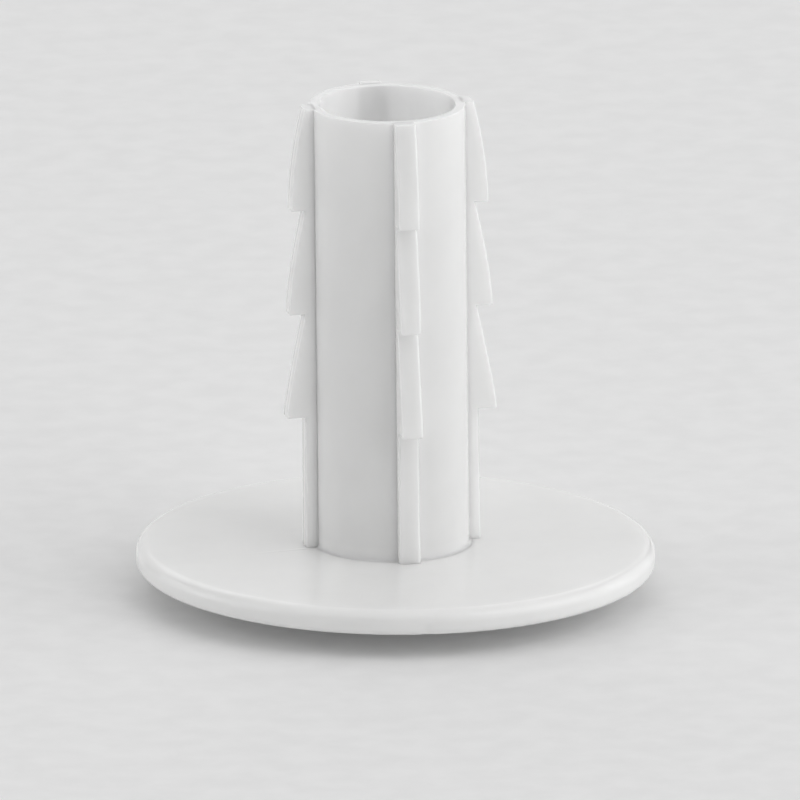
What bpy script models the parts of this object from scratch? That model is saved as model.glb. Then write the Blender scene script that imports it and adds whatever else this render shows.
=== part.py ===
"""Push-in wall anchor: a white plastic sleeve with a domed flange and four barbed ribs.

The flange stands on its domed outer face, so +Z is the way the sleeve goes into the wall.
The origin is on the sleeve's axis, at the level of the flat ring round the mouth of the bore.
"""

import math

import bmesh
import bpy
from mathutils import Vector

MM = 0.001

# Flange: a round plate, flat towards the wall and domed towards the room.
FLANGE_RADIUS = 16.0 * MM
RIM_THICKNESS = 1.6 * MM
RIM_ROUND_WALL_SIDE = 0.75 * MM
RIM_ROUND_ROOM_SIDE = 0.4 * MM
DOME_RISE = 1.6 * MM
DOME_POWER = 2.5
FOOT_RADIUS = 6.0 * MM
SEAT_HEIGHT = DOME_RISE + RIM_THICKNESS

# Barrel: a plain tube, open at both ends.
BARREL_RADIUS = 4.8 * MM
BORE_RADIUS = 4.2 * MM
BARREL_STAND = 27.9 * MM
TIP_HEIGHT = SEAT_HEIGHT + BARREL_STAND
TIP_ROUND_OUTSIDE = 0.08 * MM
TIP_ROUND_INSIDE = 0.1 * MM
MOUTH_ROUND = 0.3 * MM

# Ribs: four fins along the barrel, each cut into saw teeth that point back at the flange.
RIB_WIDTH = 1.3 * MM
RIB_FOOT_RADIUS = 5.5 * MM
RIB_TIP_RADIUS = 5.33 * MM
RIB_ROOT_DEPTH = 0.6 * MM
BARB_COUNT = 3
BARB_PITCH = 6.6 * MM
LOWEST_BARB = 8.2 * MM
LOWEST_BARB_RADIUS = 6.6 * MM
BARB_RADIUS_STEP = 0.2 * MM
BARB_LAND = 0.35 * MM
LOWEST_RAMP_POWER = 1.15
RAMP_POWER_STEP = 0.3

# The members of the moulding meet across this gap.
MEETING_GAP = 0.03 * MM

TURNED_STEPS = 96
ROUND_STEPS = 4
DOME_STEPS = 8
RAMP_STEPS = 6
SHARP_ANGLE = math.radians(35)

PLASTIC_WHITE = (0.80, 0.80, 0.79, 1.0)
PLASTIC_ROUGHNESS = 0.42

RIB_TURNS = {"rib_right": 0, "rib_back": 90, "rib_left": 180, "rib_front": 270}


def clear_scene():
    for obj in list(bpy.data.objects):
        bpy.data.objects.remove(obj, do_unlink=True)


def plastic(name):
    material = bpy.data.materials.new(name + "_plastic")
    material.use_nodes = True
    shader = material.node_tree.nodes["Principled BSDF"]
    shader.inputs["Base Color"].default_value = PLASTIC_WHITE
    shader.inputs["Roughness"].default_value = PLASTIC_ROUGHNESS
    shader.inputs["Metallic"].default_value = 0.0
    material.diffuse_color = PLASTIC_WHITE
    return material


def add_object(name, mesh):
    obj = bpy.data.objects.new(name, mesh)
    bpy.context.scene.collection.objects.link(obj)
    return obj


def arc(centre_r, centre_z, radius, start, end, steps):
    """Points (r, z) along a circular arc, from start to end in degrees."""
    points = []
    for i in range(steps + 1):
        angle = math.radians(start + (end - start) * i / steps)
        points.append((centre_r + radius * math.cos(angle), centre_z + radius * math.sin(angle)))
    return points


def turned_mesh(name, profile):
    """The closed profile of (r, z) points, turned about the Z axis."""
    shape = bmesh.new()
    verts = [shape.verts.new((r, 0.0, z)) for r, z in profile]
    edges = [shape.edges.new((verts[i - 1], verts[i])) for i in range(len(verts))]
    bmesh.ops.spin(
        shape,
        geom=verts + edges,
        cent=(0.0, 0.0, 0.0),
        axis=(0.0, 0.0, 1.0),
        angle=2 * math.pi,
        steps=TURNED_STEPS,
        use_merge=True,
    )
    bmesh.ops.recalc_face_normals(shape, faces=shape.faces)
    mesh = bpy.data.meshes.new(name)
    shape.to_mesh(mesh)
    shape.free()
    mesh.shade_smooth()
    mesh.set_sharp_from_angle(angle=SHARP_ANGLE)
    return mesh


def dome_height(r):
    """Height of the domed face at radius r: steep at the foot ring, and almost level at the rim."""
    share = (r - FOOT_RADIUS) / (FLANGE_RADIUS - FOOT_RADIUS)
    return DOME_RISE * (1 - (1 - share) ** DOME_POWER)


def flange_profile():
    inner = BARREL_RADIUS + MEETING_GAP
    corner_r = FLANGE_RADIUS - RIM_ROUND_ROOM_SIDE
    points = [(inner, 0.0)]
    for i in range(DOME_STEPS):
        r = FOOT_RADIUS + (corner_r - FOOT_RADIUS) * i / DOME_STEPS
        points.append((r, dome_height(r)))
    corner_z = DOME_RISE + RIM_ROUND_ROOM_SIDE
    points += arc(corner_r, corner_z, RIM_ROUND_ROOM_SIDE, -90, 0, ROUND_STEPS)
    points += arc(
        FLANGE_RADIUS - RIM_ROUND_WALL_SIDE,
        SEAT_HEIGHT - RIM_ROUND_WALL_SIDE,
        RIM_ROUND_WALL_SIDE,
        0,
        90,
        ROUND_STEPS,
    )
    points.append((inner, SEAT_HEIGHT))
    return points


def pocket_cutter(name, size):
    """A box that clears the feet of two opposite ribs, standing out of the flange's flat face."""
    shape = bmesh.new()
    bmesh.ops.create_cube(shape, size=1.0)
    bmesh.ops.scale(shape, vec=size, verts=shape.verts)
    floor = SEAT_HEIGHT - RIB_ROOT_DEPTH - MEETING_GAP
    bmesh.ops.translate(shape, vec=Vector((0.0, 0.0, floor + size.z / 2)), verts=shape.verts)
    mesh = bpy.data.meshes.new(name)
    shape.to_mesh(mesh)
    shape.free()
    cutter = add_object(name, mesh)
    cutter.hide_render = True
    cutter.display_type = "WIRE"
    return cutter


def build_flange():
    flange = add_object("flange", turned_mesh("flange", flange_profile()))
    flange.data.materials.append(plastic("flange"))
    length = 2 * (RIB_FOOT_RADIUS + MEETING_GAP)
    width = RIB_WIDTH + 2 * MEETING_GAP
    height = 3 * RIB_ROOT_DEPTH
    sizes = {"pockets_across": (length, width, height), "pockets_along": (width, length, height)}
    for name, size in sizes.items():
        cut = flange.modifiers.new(name, "BOOLEAN")
        cut.operation = "DIFFERENCE"
        cut.solver = "EXACT"
        cut.object = pocket_cutter(name, Vector(size))


def barrel_profile():
    points = [(BARREL_RADIUS, 0.0)]
    points += arc(
        BARREL_RADIUS - TIP_ROUND_OUTSIDE,
        TIP_HEIGHT - TIP_ROUND_OUTSIDE,
        TIP_ROUND_OUTSIDE,
        0,
        90,
        ROUND_STEPS,
    )
    points += arc(
        BORE_RADIUS + TIP_ROUND_INSIDE,
        TIP_HEIGHT - TIP_ROUND_INSIDE,
        TIP_ROUND_INSIDE,
        90,
        180,
        ROUND_STEPS,
    )
    points += arc(BORE_RADIUS + MOUTH_ROUND, MOUTH_ROUND, MOUTH_ROUND, 180, 270, ROUND_STEPS)
    return points


def build_barrel():
    barrel = add_object("barrel", turned_mesh("barrel", barrel_profile()))
    barrel.data.materials.append(plastic("barrel"))


def rib_radius(height):
    """Outer radius of a rib between its barbs: the fin narrows a little towards the tip."""
    share = (height - SEAT_HEIGHT) / BARREL_STAND
    return RIB_FOOT_RADIUS + (RIB_TIP_RADIUS - RIB_FOOT_RADIUS) * share


def barb_outline(number):
    """One saw tooth, from its flat step up its bulging ramp. Number 0 is nearest the flange."""
    step_z = SEAT_HEIGHT + LOWEST_BARB + number * BARB_PITCH
    top_z = min(step_z + BARB_PITCH, TIP_HEIGHT)
    tooth_r = LOWEST_BARB_RADIUS - number * BARB_RADIUS_STEP
    power = LOWEST_RAMP_POWER + number * RAMP_POWER_STEP
    land_z = step_z + BARB_LAND
    root_r = rib_radius(top_z)
    points = [(rib_radius(step_z), step_z), (tooth_r, step_z)]
    for i in range(RAMP_STEPS):
        share = i / RAMP_STEPS
        points.append((tooth_r - (tooth_r - root_r) * share**power, land_z + (top_z - land_z) * share))
    return points


def rib_outline():
    inner = BARREL_RADIUS + MEETING_GAP
    foot_z = SEAT_HEIGHT - RIB_ROOT_DEPTH
    points = [(inner, foot_z), (RIB_FOOT_RADIUS, foot_z), (RIB_FOOT_RADIUS, SEAT_HEIGHT)]
    for number in range(BARB_COUNT):
        points += barb_outline(number)
    points += [(RIB_TIP_RADIUS, TIP_HEIGHT), (inner, TIP_HEIGHT)]
    return points


def rib_mesh():
    shape = bmesh.new()
    verts = [shape.verts.new((r, -RIB_WIDTH / 2, z)) for r, z in rib_outline()]
    side = shape.faces.new(verts)
    grown = bmesh.ops.extrude_face_region(shape, geom=[side])
    moved = [item for item in grown["geom"] if isinstance(item, bmesh.types.BMVert)]
    bmesh.ops.translate(shape, vec=Vector((0.0, RIB_WIDTH, 0.0)), verts=moved)
    bmesh.ops.recalc_face_normals(shape, faces=shape.faces)
    mesh = bpy.data.meshes.new("rib")
    shape.to_mesh(mesh)
    shape.free()
    return mesh


def build_ribs():
    mesh = rib_mesh()
    for name, turn in RIB_TURNS.items():
        rib = add_object(name, mesh.copy())
        rib.rotation_euler.z = math.radians(turn)
        rib.data.materials.append(plastic(name))


clear_scene()
build_flange()
build_barrel()
build_ribs()
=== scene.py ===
import math

import bmesh
import bpy
from mathutils import Matrix, Vector


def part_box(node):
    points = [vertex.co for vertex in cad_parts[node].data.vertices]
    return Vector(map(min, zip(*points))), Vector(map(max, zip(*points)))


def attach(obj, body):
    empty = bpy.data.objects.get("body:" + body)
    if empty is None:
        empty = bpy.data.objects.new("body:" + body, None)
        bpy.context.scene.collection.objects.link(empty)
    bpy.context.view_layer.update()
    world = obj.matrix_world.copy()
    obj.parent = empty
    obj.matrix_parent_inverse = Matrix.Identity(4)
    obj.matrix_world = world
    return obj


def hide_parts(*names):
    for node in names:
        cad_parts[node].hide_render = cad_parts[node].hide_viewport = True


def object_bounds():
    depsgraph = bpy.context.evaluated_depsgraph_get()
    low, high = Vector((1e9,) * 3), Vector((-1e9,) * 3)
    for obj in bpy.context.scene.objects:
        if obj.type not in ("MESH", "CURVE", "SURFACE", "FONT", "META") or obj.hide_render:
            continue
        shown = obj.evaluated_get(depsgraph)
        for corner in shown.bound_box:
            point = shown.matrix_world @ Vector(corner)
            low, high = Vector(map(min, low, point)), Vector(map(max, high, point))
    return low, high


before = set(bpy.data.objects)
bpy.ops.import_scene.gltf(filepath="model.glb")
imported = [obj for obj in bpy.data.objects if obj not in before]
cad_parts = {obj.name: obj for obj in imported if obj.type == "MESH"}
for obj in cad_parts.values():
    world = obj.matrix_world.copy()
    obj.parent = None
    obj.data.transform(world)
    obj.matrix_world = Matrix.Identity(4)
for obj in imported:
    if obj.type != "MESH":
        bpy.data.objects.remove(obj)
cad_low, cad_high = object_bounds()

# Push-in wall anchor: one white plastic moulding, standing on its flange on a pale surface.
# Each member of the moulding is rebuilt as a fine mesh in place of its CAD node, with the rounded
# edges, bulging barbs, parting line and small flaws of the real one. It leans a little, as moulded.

MM = 0.001

# Sizes read from the frame.
FLANGE_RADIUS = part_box("flange")[1].x
SEAT_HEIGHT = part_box("flange")[1].z
BARREL_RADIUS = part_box("barrel")[1].x
TIP_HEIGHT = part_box("barrel")[1].z + 0.04 * MM
LOWEST_BARB_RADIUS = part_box("rib_right")[1].x
RIB_WIDTH = 2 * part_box("rib_right")[1].y

# The flange: its face towards the wall falls a little towards the rim, its other face is domed.
RIM_THICKNESS = 1.53 * MM
FACE_FALL = 0.05 * MM
RIM_ROUND_WALL_SIDE = 0.75 * MM
RIM_ROUND_ROOM_SIDE = 0.4 * MM
DOME_RISE = SEAT_HEIGHT - FACE_FALL - RIM_THICKNESS
FOOT_RADIUS = 6.0 * MM
DOME_POWER = 2.5

# The barrel: its wall, its lip, the fillet at its foot, and the mouth of its bore on the room side.
WALL = 0.6 * MM
BORE_RADIUS = BARREL_RADIUS - WALL
LIP_ROUND_OUTSIDE = 0.06 * MM
LIP_ROUND_INSIDE = 0.1 * MM
FOOT_FILLET = 0.2 * MM
MOUTH_ROUND = 0.3 * MM
MOUTH_RELIEF = 0.02 * MM

# The ribs and their barbs.
RIB_TURNS = {"rib_right": 0, "rib_back": 90, "rib_left": 180, "rib_front": 270}
RIB_FOOT_RADIUS = 5.5 * MM
RIB_TIP_RADIUS = 5.33 * MM
BARB_COUNT = 3
BARB_PITCH = 6.6 * MM
LOWEST_BARB = 8.28 * MM
BARB_RADIUS_STEP = 0.2 * MM
BARB_LAND = 0.35 * MM
LOWEST_RAMP_POWER = 1.15
RAMP_POWER_STEP = 0.3
RIB_EDGE_ROUND = 0.12 * MM
BARB_EDGE_SHARE = 0.35

# How far the members run into each other, so that the moulding looks fused.
BURIED = 0.25 * MM

# How finely the curves are cut.
DOME_STEPS = 24
FACE_STEPS = 40
FACE_CROWDING = 1.8
WALL_STEPS = 40
RAMP_STEPS = 14
SMALL_ROUND_STEPS = 8
LIP_INSIDE_STEPS = 6
RIM_FOOT_STEPS = 10
RIM_ROUND_STEPS = 16
BARREL_COLUMNS = 256
FLANGE_COLUMN_DEGREES = 1.5
MARK_COLUMN_DEGREES = 0.25
MARK_COLUMNS = 12
BEVEL_SEGMENTS = 4
TURNED_SHARP_DEGREES = 40
RIB_SHARP_DEGREES = 30
BARB_SHARP_DEGREES = 35

# The sleeve as it came out of the mould: leaning towards rib_left, and a little off centre.
LEAN = math.tan(math.radians(0.87))
OFF_CENTRE = 0.26 * MM

# Marks of the mould. Bearings count from rib_right, towards rib_back.
PARTING_FLASH = 0.02 * MM
FLOW_LINE_BEARING = 188.0
FLOW_LINE_DEPTH = 0.04 * MM
FLOW_LINE_WIDTH = 0.12 * MM
FLOW_LINE_END = 11.0 * MM
NICK_BEARING = 264.5
NICK_DEPTH = 0.12 * MM
NICK_WIDTH = 0.35 * MM

# How deep light runs into the plastic, and its colour. The bore and the inner corners are painted
# whiter, a painted glow standing in for the light that the real solid carries from one member to
# the next. Light runs deeper in the bore's wall, and less deep behind a rib, which would leave a
# dark band there.
SCATTER_DEPTH = 1.0 * MM
BORE_DEPTH = 2.0 * MM
BEHIND_RIB_DEPTH = 0.25 * MM
BEHIND_RIB_REACH = 0.8 * MM
CLOUD_DARK = (0.85, 0.85, 0.845)
CLOUD_LIGHT = (0.87, 0.87, 0.865)
PAINTED_GLOW_WHITE = (0.97, 0.97, 0.967)
CORNER_GLOW_SHARE = 0.8
CORNER_REACH = 0.45 * MM
LAMPLIGHT_SHARE = 0.37

# The plastic's skin. Noise scales are in waves to the metre.
CLOUD_SCALE = 260.0
DRAW_MARK_SCALE = 900.0
GRAIN_SCALE = 5200.0
GRAIN_SHARE = 0.3
GLOSSIEST = 0.13
DULLEST = 0.23
RELIEF_STRENGTH = 0.15
RELIEF_DEPTH = 0.02 * MM
DRAWN_ALONG_Z = (1, 1, 0.06)
NOT_DRAWN = (1, 1, 1)
TINT_FROM = 0.35
TINT_TO = 0.65
PLASTIC_IOR = 1.5

# The camera: a long lens, aimed from the middle of the frame's box. Bearings count from -Y to +X.
CAMERA_BEARING = -12.4
CAMERA_ELEVATION = 15.7
CAMERA_DISTANCE = 2.0
CAMERA_ROLL = 0.3
CAMERA_LENS = 1462.0
AIM_RIGHT = 0.22 * MM
AIM_UP = -3.27 * MM

# The floor: a sheet of matt paper just under the foot ring.
FLOOR_REACH = 3.0
FLOOR_DROP = 0.01 * MM
FLOOR_MOTTLE_SCALE = 420.0
FLOOR_DARK = (0.83, 0.83, 0.83)
FLOOR_LIGHT = (0.86, 0.86, 0.86)

# The studio: soft round lamps, by bearing, elevation, size in metres and watts, and no sky.
LAMP_DISTANCE = 1.2
LAMPS = {
    "right_lamp": (45, 22, 1.5, 7.2),
    "far_right_lamp": (90, 15, 1.0, 2.4),
    "back_right_lamp": (120, 12, 1.0, 2.2),
    "backdrop_lamp": (180, 22, 1.5, 3.8),
    "low_left_lamp": (240, 12, 1.0, 2.6),
    "left_lamp": (270, 15, 1.0, 3.2),
    "left_top_lamp": (300, 55, 1.5, 3.9),
    "right_top_lamp": (60, 55, 1.5, 4.6),
    "back_top_lamp": (180, 55, 1.5, 3.5),
}


def smooth_step(x):
    x = min(max(x, 0.0), 1.0)
    return x * x * (3 - 2 * x)


def arc(centre_r, centre_z, radius, start, end, steps):
    """Points (r, z) along a circular arc, from start to end in degrees."""
    points = []
    for i in range(steps + 1):
        angle = math.radians(start + (end - start) * i / steps)
        points.append((centre_r + radius * math.cos(angle), centre_z + radius * math.sin(angle)))
    return points


def finished_mesh(shape, name, sharp_degrees):
    bmesh.ops.recalc_face_normals(shape, faces=shape.faces)
    mesh = bpy.data.meshes.new(name)
    shape.to_mesh(mesh)
    shape.free()
    mesh.shade_smooth()
    mesh.set_sharp_from_angle(angle=math.radians(sharp_degrees))
    return mesh


def add_piece(name, mesh, material, cad_node):
    """A visible piece of the moulding, riding on the one body in place of its CAD node."""
    piece = bpy.data.objects.new(name, mesh)
    bpy.context.scene.collection.objects.link(piece)
    piece.data.materials.append(material)
    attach(piece, "root")
    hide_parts(cad_node)
    return piece


def turned_shape(profile, bearings):
    """The closed profile of (r, z) points carried round the Z axis, a column at each bearing."""
    shape = bmesh.new()
    columns = []
    for bearing in bearings:
        c, s = math.cos(bearing), math.sin(bearing)
        columns.append([shape.verts.new((r * c, r * s, z)) for r, z in profile])
    for before, column in zip([columns[-1]] + columns, columns):
        for j in range(len(profile)):
            shape.faces.new((before[j - 1], column[j - 1], column[j], before[j]))
    return shape


def set_layer(shape, name, amount):
    """Stores a named number at each point, from amount(co), for the material to read."""
    layer = shape.verts.layers.float.new(name)
    for vert in shape.verts:
        vert[layer] = amount(vert.co)


def even_depth(co):
    """How deep light runs everywhere but in the bore."""
    return SCATTER_DEPTH


def corner_painted_glow(gap):
    """How much whiter the colour is painted at this distance from an inner corner: a painted glow for
    light carried across the joint.
    """
    return CORNER_GLOW_SHARE * math.exp(-((max(gap, 0.0) / CORNER_REACH) ** 2))


def lean(shape):
    """Leans the sleeve by sliding each level sideways, so that its lip stays level."""
    for vert in shape.verts:
        vert.co.x -= OFF_CENTRE + LEAN * max(0.0, vert.co.z - SEAT_HEIGHT)


# ---------------------------------------------------------------- plastic


def add_node(tree, kind, **settings):
    made = tree.nodes.new(kind)
    for key, value in settings.items():
        setattr(made, key, value)
    return made


def add_noise(tree, vector, scale, detail):
    noise = add_node(tree, "ShaderNodeTexNoise")
    noise.inputs["Scale"].default_value = scale
    noise.inputs["Detail"].default_value = detail
    tree.links.new(vector, noise.inputs["Vector"])
    return noise.outputs["Fac"]


def add_tint(tree, factor, dark, light):
    tint = add_node(tree, "ShaderNodeValToRGB")
    tint.color_ramp.elements[0].position = TINT_FROM
    tint.color_ramp.elements[0].color = (*dark, 1)
    tint.color_ramp.elements[1].position = TINT_TO
    tint.color_ramp.elements[1].color = (*light, 1)
    tree.links.new(factor, tint.inputs["Fac"])
    return tint.outputs["Color"]


def let_lamplight_through(tree, shader):
    """Each surface passes a share of the lamps' light, so that the thin plate glows on the floor."""
    ray = add_node(tree, "ShaderNodeLightPath").outputs["Is Shadow Ray"]
    share = add_node(tree, "ShaderNodeMath", operation="MULTIPLY")
    share.inputs[1].default_value = LAMPLIGHT_SHARE
    tree.links.new(ray, share.inputs[0])
    clear = add_node(tree, "ShaderNodeBsdfTransparent")
    mix = add_node(tree, "ShaderNodeMixShader")
    tree.links.new(share.outputs[0], mix.inputs["Fac"])
    tree.links.new(shader.outputs[0], mix.inputs[1])
    tree.links.new(clear.outputs[0], mix.inputs[2])
    tree.links.new(mix.outputs[0], tree.nodes["Material Output"].inputs["Surface"])


def moulded_plastic(name, stretch):
    """White plastic as it left the mould: faintly cloudy, with draw marks that run along Z where
    stretch is small in Z, a satin skin of fine grain, light scattered inside, and a painted glow
    that whitens the colour wherever the mesh's stored glow asks for it."""
    material = bpy.data.materials.new(name)
    material.use_nodes = True
    tree = material.node_tree
    shader = tree.nodes["Principled BSDF"]
    place = add_node(tree, "ShaderNodeTexCoord").outputs["Object"]

    clouds = add_noise(tree, place, CLOUD_SCALE, detail=3.0)
    tint = add_tint(tree, clouds, CLOUD_DARK, CLOUD_LIGHT)
    # Painted light: the stored glow mixes the colour towards white in the bore and at the inner
    # corners.
    painted_glow = add_node(tree, "ShaderNodeAttribute", attribute_name="painted_glow").outputs["Fac"]
    blend = add_node(tree, "ShaderNodeMix", data_type="RGBA")
    blend.inputs["B"].default_value = (*PAINTED_GLOW_WHITE, 1)
    tree.links.new(painted_glow, blend.inputs["Factor"])
    tree.links.new(tint, blend.inputs["A"])
    tree.links.new(blend.outputs["Result"], shader.inputs["Base Color"])
    depth = add_node(tree, "ShaderNodeAttribute", attribute_name="depth").outputs["Fac"]
    tree.links.new(depth, shader.inputs["Subsurface Scale"])
    let_lamplight_through(tree, shader)

    squeeze = add_node(tree, "ShaderNodeMapping")
    squeeze.inputs["Scale"].default_value = stretch
    tree.links.new(place, squeeze.inputs["Vector"])
    draw_marks = add_noise(tree, squeeze.outputs["Vector"], DRAW_MARK_SCALE, detail=4.0)
    gloss = add_node(tree, "ShaderNodeMapRange")
    gloss.inputs["To Min"].default_value = GLOSSIEST
    gloss.inputs["To Max"].default_value = DULLEST
    tree.links.new(draw_marks, gloss.inputs["Value"])
    tree.links.new(gloss.outputs["Result"], shader.inputs["Roughness"])

    grain = add_noise(tree, place, GRAIN_SCALE, detail=2.0)
    relief = add_node(tree, "ShaderNodeMath", operation="MULTIPLY_ADD")
    relief.inputs[1].default_value = GRAIN_SHARE
    tree.links.new(grain, relief.inputs[0])
    tree.links.new(draw_marks, relief.inputs[2])
    bump = add_node(tree, "ShaderNodeBump")
    bump.inputs["Strength"].default_value = RELIEF_STRENGTH
    bump.inputs["Distance"].default_value = RELIEF_DEPTH
    tree.links.new(relief.outputs[0], bump.inputs["Height"])
    tree.links.new(bump.outputs["Normal"], shader.inputs["Normal"])

    shader.inputs["IOR"].default_value = PLASTIC_IOR
    shader.inputs["Subsurface Weight"].default_value = 1.0
    shader.inputs["Subsurface Radius"].default_value = (1.0, 1.0, 1.0)
    return material


# ---------------------------------------------------------------- flange


def dome_height(r):
    """Height of the domed face at radius r: steep at the foot ring, and almost level at the rim."""
    share = (r - FOOT_RADIUS) / (FLANGE_RADIUS - FOOT_RADIUS)
    return DOME_RISE * (1 - (1 - share) ** DOME_POWER)


def flange_profile():
    inner = BARREL_RADIUS - BURIED
    low_corner = FLANGE_RADIUS - RIM_ROUND_ROOM_SIDE
    high_corner = FLANGE_RADIUS - RIM_ROUND_WALL_SIDE
    slope = math.degrees(math.atan2(dome_height(low_corner) - dome_height(low_corner - MM), MM))
    points = [(inner, 0.0)]
    for i in range(DOME_STEPS):
        r = FOOT_RADIUS + (low_corner - FOOT_RADIUS) * i / DOME_STEPS
        points.append((r, dome_height(r)))
    low_z = dome_height(low_corner) + RIM_ROUND_ROOM_SIDE
    points += arc(low_corner, low_z, RIM_ROUND_ROOM_SIDE, slope - 90, 0, RIM_FOOT_STEPS)
    high_z = SEAT_HEIGHT - FACE_FALL - RIM_ROUND_WALL_SIDE
    points += arc(high_corner, high_z, RIM_ROUND_WALL_SIDE, 0, 89, RIM_ROUND_STEPS)
    for i in range(1, FACE_STEPS + 1):
        out = (1 - i / FACE_STEPS) ** FACE_CROWDING
        points.append((inner + (high_corner - inner) * out, SEAT_HEIGHT - FACE_FALL * out**2))
    return points


def flange_bearings():
    """Even columns, with close ones at the flow line and at the nick."""
    degrees = {i * FLANGE_COLUMN_DEGREES for i in range(round(360 / FLANGE_COLUMN_DEGREES))}
    for centre in (FLOW_LINE_BEARING, NICK_BEARING):
        for i in range(-MARK_COLUMNS, MARK_COLUMNS + 1):
            degrees.add(centre + i * MARK_COLUMN_DEGREES)
    return [math.radians(d) for d in sorted(degrees)]


def off_bearing(co, bearing):
    """How far a point lies to the left of the ray at this bearing, and how far along it."""
    angle = math.radians(bearing)
    c, s = math.cos(angle), math.sin(angle)
    return co.y * c - co.x * s, co.x * c + co.y * s


def mark_flange(shape):
    """A fine step along a flow line from rib_left's foot, and a nick in the rim's lower edge."""
    for vert in shape.verts:
        co = vert.co
        if co.z > SEAT_HEIGHT - 2 * FACE_FALL:
            across, along = off_bearing(co, FLOW_LINE_BEARING)
            if along > 0:
                fade = 1 - smooth_step(along / FLOW_LINE_END)
                groove = math.exp(-((across / FLOW_LINE_WIDTH) ** 2))
                co.z -= FLOW_LINE_DEPTH * fade * groove
        across, along = off_bearing(co, NICK_BEARING)
        if along > FLANGE_RADIUS - RIM_ROUND_ROOM_SIDE and co.z < DOME_RISE + RIM_ROUND_ROOM_SIDE:
            co -= co.normalized() * NICK_DEPTH * math.exp(-((across / NICK_WIDTH) ** 2))


# Painted glow on the flange's face around the barrel's foot.
def flange_painted_glow(co):
    return corner_painted_glow(math.hypot(co.x + OFF_CENTRE, co.y) - BARREL_RADIUS)


def build_flange():
    shape = turned_shape(flange_profile(), flange_bearings())
    set_layer(shape, "painted_glow", flange_painted_glow)
    set_layer(shape, "depth", even_depth)
    mark_flange(shape)
    mesh = finished_mesh(shape, "flange_moulding", TURNED_SHARP_DEGREES)
    add_piece("flange_moulding", mesh, moulded_plastic("flange_plastic", NOT_DRAWN), "flange")


# ---------------------------------------------------------------- barrel


def barrel_profile():
    fillet_r, fillet_z = BARREL_RADIUS + FOOT_FILLET, SEAT_HEIGHT + FOOT_FILLET
    points = [(BARREL_RADIUS, MOUTH_RELIEF), (BARREL_RADIUS, SEAT_HEIGHT - 2 * BURIED)]
    points.append((fillet_r, SEAT_HEIGHT - BURIED))
    points += arc(fillet_r, fillet_z, FOOT_FILLET, 270, 180, SMALL_ROUND_STEPS)
    for i in range(1, WALL_STEPS):
        points.append((BARREL_RADIUS, fillet_z + (TIP_HEIGHT - fillet_z - MM) * i / WALL_STEPS))
    lip = TIP_HEIGHT - LIP_ROUND_OUTSIDE
    points += arc(BARREL_RADIUS - LIP_ROUND_OUTSIDE, lip, LIP_ROUND_OUTSIDE, 0, 90, SMALL_ROUND_STEPS)
    lip = TIP_HEIGHT - LIP_ROUND_INSIDE
    points += arc(BORE_RADIUS + LIP_ROUND_INSIDE, lip, LIP_ROUND_INSIDE, 90, 180, LIP_INSIDE_STEPS)
    for i in range(1, WALL_STEPS):
        points.append((BORE_RADIUS, lip - (lip - MOUTH_ROUND) * i / WALL_STEPS))
    points += arc(BORE_RADIUS + MOUTH_ROUND, MOUTH_ROUND, MOUTH_ROUND, 180, 270, SMALL_ROUND_STEPS)
    return points


def in_bore(co):
    return math.hypot(co.x, co.y) < BARREL_RADIUS - 2 * LIP_ROUND_OUTSIDE


def beside_rib(co):
    """How far a point on the barrel is from the nearest rib's side."""
    return max(0.0, min(abs(co.x), abs(co.y)) - RIB_WIDTH / 2)


# Painted glow: full strength over the whole bore, and on the outside beside the ribs and above the
# foot.
def barrel_painted_glow(co):
    if in_bore(co):
        return 1.0
    return max(corner_painted_glow(beside_rib(co)), corner_painted_glow(co.z - SEAT_HEIGHT))


def barrel_depth(co):
    if not in_bore(co):
        return SCATTER_DEPTH
    behind_rib = math.exp(-((beside_rib(co) / BEHIND_RIB_REACH) ** 2))
    return BORE_DEPTH + (BEHIND_RIB_DEPTH - BORE_DEPTH) * behind_rib


def build_barrel(material):
    bearings = [2 * math.pi * i / BARREL_COLUMNS for i in range(BARREL_COLUMNS)]
    shape = turned_shape(barrel_profile(), bearings)
    set_layer(shape, "painted_glow", barrel_painted_glow)
    set_layer(shape, "depth", barrel_depth)
    lean(shape)
    mesh = finished_mesh(shape, "barrel_moulding", TURNED_SHARP_DEGREES)
    add_piece("barrel_moulding", mesh, material, "barrel")


# ---------------------------------------------------------------- ribs


def rib_radius(height):
    """Outer radius of a rib between its barbs: the fin narrows a little towards the tip."""
    share = (height - SEAT_HEIGHT) / (TIP_HEIGHT - SEAT_HEIGHT)
    return RIB_FOOT_RADIUS + (RIB_TIP_RADIUS - RIB_FOOT_RADIUS) * share


def barb_outline(number):
    """One saw tooth, from its flat step up its bulging ramp. Number 0 is nearest the flange."""
    step_z = SEAT_HEIGHT + LOWEST_BARB + number * BARB_PITCH
    top_z = min(step_z + BARB_PITCH, TIP_HEIGHT)
    tooth_r = LOWEST_BARB_RADIUS - number * BARB_RADIUS_STEP
    power = LOWEST_RAMP_POWER + number * RAMP_POWER_STEP
    land_z = step_z + BARB_LAND
    root_r = rib_radius(top_z)
    points = [(rib_radius(step_z), step_z), (tooth_r, step_z)]
    for i in range(RAMP_STEPS):
        share = i / RAMP_STEPS
        points.append((tooth_r - (tooth_r - root_r) * share**power, land_z + (top_z - land_z) * share))
    return points


def rib_outline():
    """The fin's side view. Its first and last points are buried in the barrel's wall."""
    inner = BARREL_RADIUS - BURIED
    foot = SEAT_HEIGHT - BURIED
    points = [(inner, foot), (RIB_FOOT_RADIUS, foot), (RIB_FOOT_RADIUS, SEAT_HEIGHT)]
    for number in range(BARB_COUNT):
        points += barb_outline(number)
    return points + [(RIB_TIP_RADIUS, TIP_HEIGHT), (inner, TIP_HEIGHT)]


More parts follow.
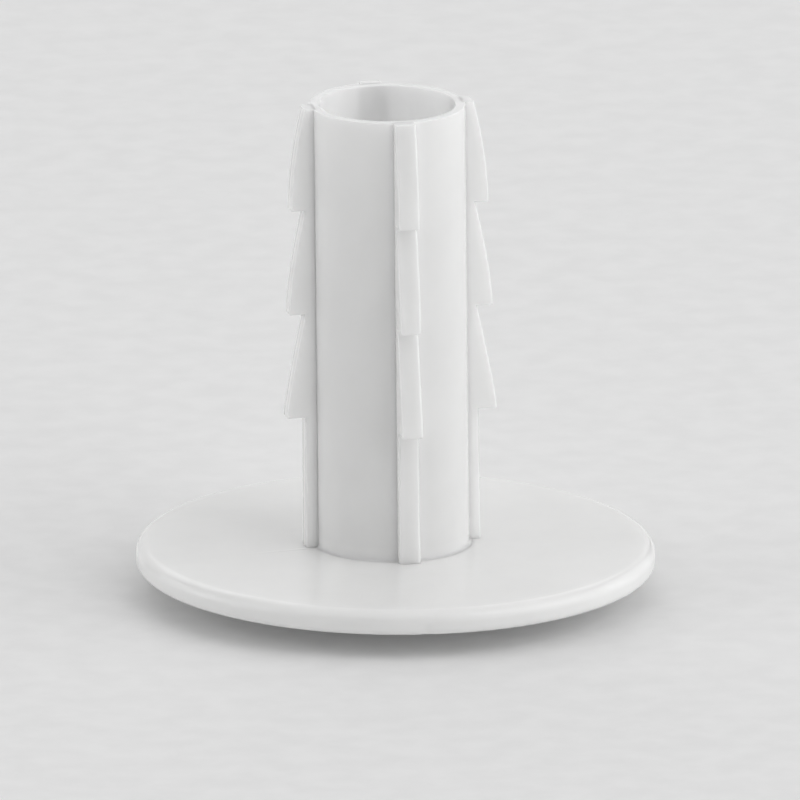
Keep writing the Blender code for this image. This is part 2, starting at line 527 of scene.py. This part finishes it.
def rib_shape(flash):
    """The side view carried across the rib's width. flash raises a fine line along the middle."""
    outline = rib_outline()
    shape = bmesh.new()
    weights = shape.edges.layers.float.new("bevel_weight_edge")
    rows = []
    for share in (-0.5, -0.05, 0.0, 0.05, 0.5):
        row = []
        for r, z in outline:
            out = flash if share == 0.0 and r > BARREL_RADIUS else 0.0
            row.append(shape.verts.new((r + out, share * RIB_WIDTH, z)))
        rows.append(row)
    for before, after in zip(rows, rows[1:]):
        for j in range(len(outline)):
            shape.faces.new((before[j - 1], after[j - 1], after[j], before[j]))
    for row in (rows[0], rows[-1]):
        side = shape.faces.new(row)
        for edge in side.edges:
            if min(v.co.x for v in edge.verts) > BARREL_RADIUS:
                edge[weights] = 1.0
    bmesh.ops.recalc_face_normals(shape, faces=shape.faces)
    sharp = math.radians(BARB_SHARP_DEGREES)
    for edge in shape.edges:
        if edge[weights] == 0.0 and edge.is_convex and edge.calc_face_angle(0.0) > sharp:
            edge[weights] = BARB_EDGE_SHARE
    return shape


# Painted glow along the rib's root at the barrel.
def rib_painted_glow(co):
    return corner_painted_glow(co.x - BARREL_RADIUS)


def build_ribs(material):
    for name, turn in RIB_TURNS.items():
        flash = PARTING_FLASH if name in ("rib_right", "rib_left") else 0.0
        shape = rib_shape(flash)
        set_layer(shape, "painted_glow", rib_painted_glow)
        set_layer(shape, "depth", even_depth)
        spin = Matrix.Rotation(math.radians(turn), 3, "Z")
        bmesh.ops.rotate(shape, cent=(0, 0, 0), matrix=spin, verts=shape.verts)
        lean(shape)
        mesh = finished_mesh(shape, name + "_moulding", RIB_SHARP_DEGREES)
        piece = add_piece(name + "_moulding", mesh, material, name)
        rounded = piece.modifiers.new("rounded_edges", "BEVEL")
        rounded.width = RIB_EDGE_ROUND
        rounded.segments = BEVEL_SEGMENTS
        rounded.limit_method = "WEIGHT"
        rounded.harden_normals = True


# ---------------------------------------------------------------- studio


def pale_floor():
    """Matt white paper, faintly mottled."""
    material = bpy.data.materials.new("pale_floor")
    material.use_nodes = True
    tree = material.node_tree
    shader = tree.nodes["Principled BSDF"]
    shader.inputs["Roughness"].default_value = 0.9
    shader.inputs["Specular IOR Level"].default_value = 0.1
    place = add_node(tree, "ShaderNodeTexCoord").outputs["Object"]
    mottle = add_noise(tree, place, FLOOR_MOTTLE_SCALE, detail=6.0)
    tint = add_tint(tree, mottle, FLOOR_DARK, FLOOR_LIGHT)
    tree.links.new(tint, shader.inputs["Base Color"])
    return material


def build_floor():
    shape = bmesh.new()
    bmesh.ops.create_grid(shape, x_segments=4, y_segments=4, size=FLOOR_REACH)
    bmesh.ops.translate(shape, vec=Vector((0, 0, -FLOOR_DROP)), verts=shape.verts)
    mesh = bpy.data.meshes.new("floor")
    shape.to_mesh(mesh)
    shape.free()
    floor = bpy.data.objects.new("floor", mesh)
    bpy.context.scene.collection.objects.link(floor)
    floor.data.materials.append(pale_floor())


def heading(bearing, elevation):
    """The unit vector from the subject towards a camera or lamp."""
    b, e = math.radians(bearing), math.radians(elevation)
    return Vector((math.sin(b) * math.cos(e), -math.cos(b) * math.cos(e), math.sin(e)))


def light_studio(centre):
    world = bpy.data.worlds.new("studio")
    bpy.context.scene.world = world
    world.use_nodes = True
    world.node_tree.nodes["Background"].inputs["Strength"].default_value = 0.0
    for name, (bearing, elevation, size, watts) in LAMPS.items():
        data = bpy.data.lights.new(name, "AREA")
        data.shape = "DISK"
        data.size = size
        data.energy = watts
        lamp = bpy.data.objects.new(name, data)
        bpy.context.scene.collection.objects.link(lamp)
        lamp.visible_camera = False
        way = heading(bearing, elevation)
        lamp.location = centre + way * LAMP_DISTANCE
        lamp.rotation_euler = way.to_track_quat("Z", "Y").to_euler()


def place_camera(centre):
    way = heading(CAMERA_BEARING, CAMERA_ELEVATION)
    right = Vector((0, 0, 1)).cross(way).normalized()
    up = way.cross(right)
    data = bpy.data.cameras.new("camera")
    data.lens = CAMERA_LENS
    data.sensor_width = 36.0
    data.clip_start = 0.01
    data.clip_end = 20.0
    camera = bpy.data.objects.new("camera", data)
    bpy.context.scene.collection.objects.link(camera)
    camera.location = centre + right * AIM_RIGHT + up * AIM_UP + way * CAMERA_DISTANCE
    facing = Matrix((right, up, way)).transposed()
    roll = Matrix.Rotation(math.radians(CAMERA_ROLL), 3, "Z")
    camera.rotation_euler = (facing @ roll).to_euler()
    bpy.context.scene.camera = camera


build_flange()
drawn_plastic = moulded_plastic("sleeve_plastic", DRAWN_ALONG_Z)
build_barrel(drawn_plastic)
build_ribs(drawn_plastic)
build_floor()
middle = (cad_low + cad_high) / 2
light_studio(middle)
place_camera(middle)
bpy.context.scene.view_settings.view_transform = "Standard"
